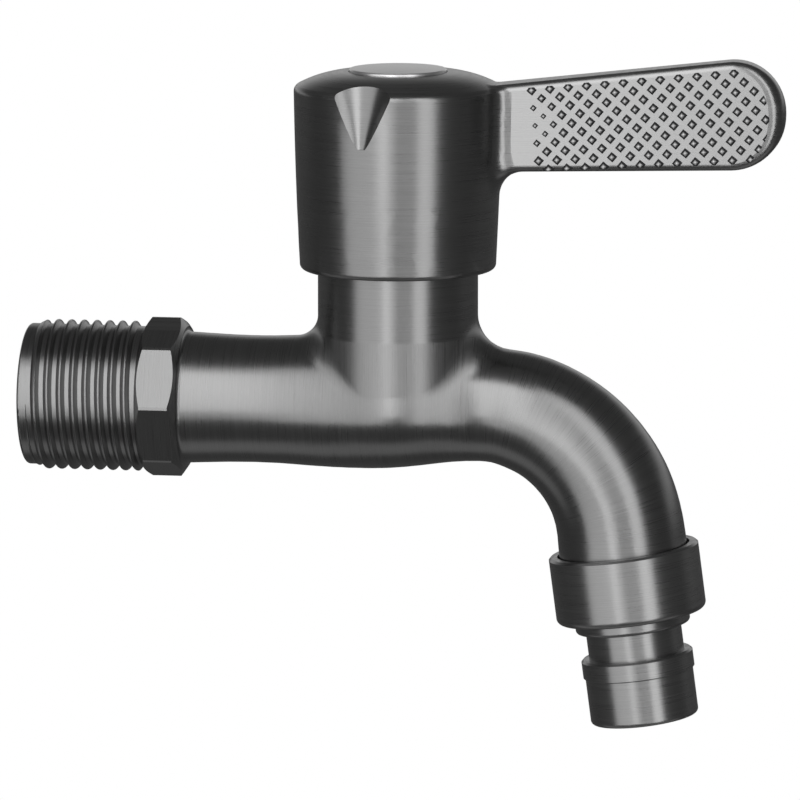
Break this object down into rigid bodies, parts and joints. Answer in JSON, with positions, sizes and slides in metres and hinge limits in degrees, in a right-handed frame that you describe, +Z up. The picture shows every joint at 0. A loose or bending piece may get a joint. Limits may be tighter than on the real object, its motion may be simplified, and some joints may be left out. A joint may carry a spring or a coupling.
{
  "type": "washing machine tap",
  "caption": "Wall-mounted metal tap for a washing machine hose: threaded inlet, quarter-turn lever on a round hub, bent spout and a screw-on hose nozzle.",
  "frame": {"origin": "centre of the collar's wall side, on the inlet axis", "axes": "+X along the inlet from the wall towards the spout, +Z up along the spindle, lever pointing along +X when shut"},
  "size_m": [0.1058, 0.0288, 0.093],
  "materials": {
    "gunmetal": "brushed",
    "cap_metal": "satin",
    "brass": "machined",
    "steel": "bright",
    "ceramic": "polished",
    "white_plastic": "plain",
    "black_rubber": "matte"
  },
  "bodies": {
    "tap": {"tap_body": "gunmetal", "cartridge_housing": "brass", "cartridge_gasket": "black_rubber", "thrust_washer": "white_plastic", "fixed_ceramic_disc": "ceramic", "seat_seal": "black_rubber"},
    "handle": {"handle_lever": "gunmetal", "spindle": "brass", "circlip": "steel", "spindle_upper_o_ring": "black_rubber", "spindle_lower_o_ring": "black_rubber", "stop_collar": "brass", "moving_ceramic_disc": "ceramic", "spline_insert": "brass", "handle_screw": "steel", "screw_spring_washer": "steel", "index_cap": "cap_metal"},
    "outlet_seal": {"outlet_washer": "black_rubber", "strainer_screen": "steel"},
    "nozzle": {"hose_nozzle": "gunmetal"}
  },
  "joints": [
    {"name": "handle_turn", "type": "hinge", "parent": "tap", "child": "handle", "pos_m": [0.0355, 0, 0.03], "axis": [0, 0, 1], "range_deg": [0, 90]},
    {"name": "nozzle_travel", "type": "slide", "parent": "tap", "child": "outlet_seal", "axis": [0.1323, 0, -0.9912], "range_m": [0, 0.0047]},
    {"name": "nozzle_unscrew", "type": "hinge", "parent": "outlet_seal", "child": "nozzle", "pos_m": [0.06814, 0, -0.02765], "axis": [0.1323, 0, -0.9912], "range_deg": [0, 1260]}
  ],
  "couplings": [
    {"joint": "nozzle_travel", "follows": "nozzle_unscrew", "m_per_rad": 0.00021279}
  ]
}
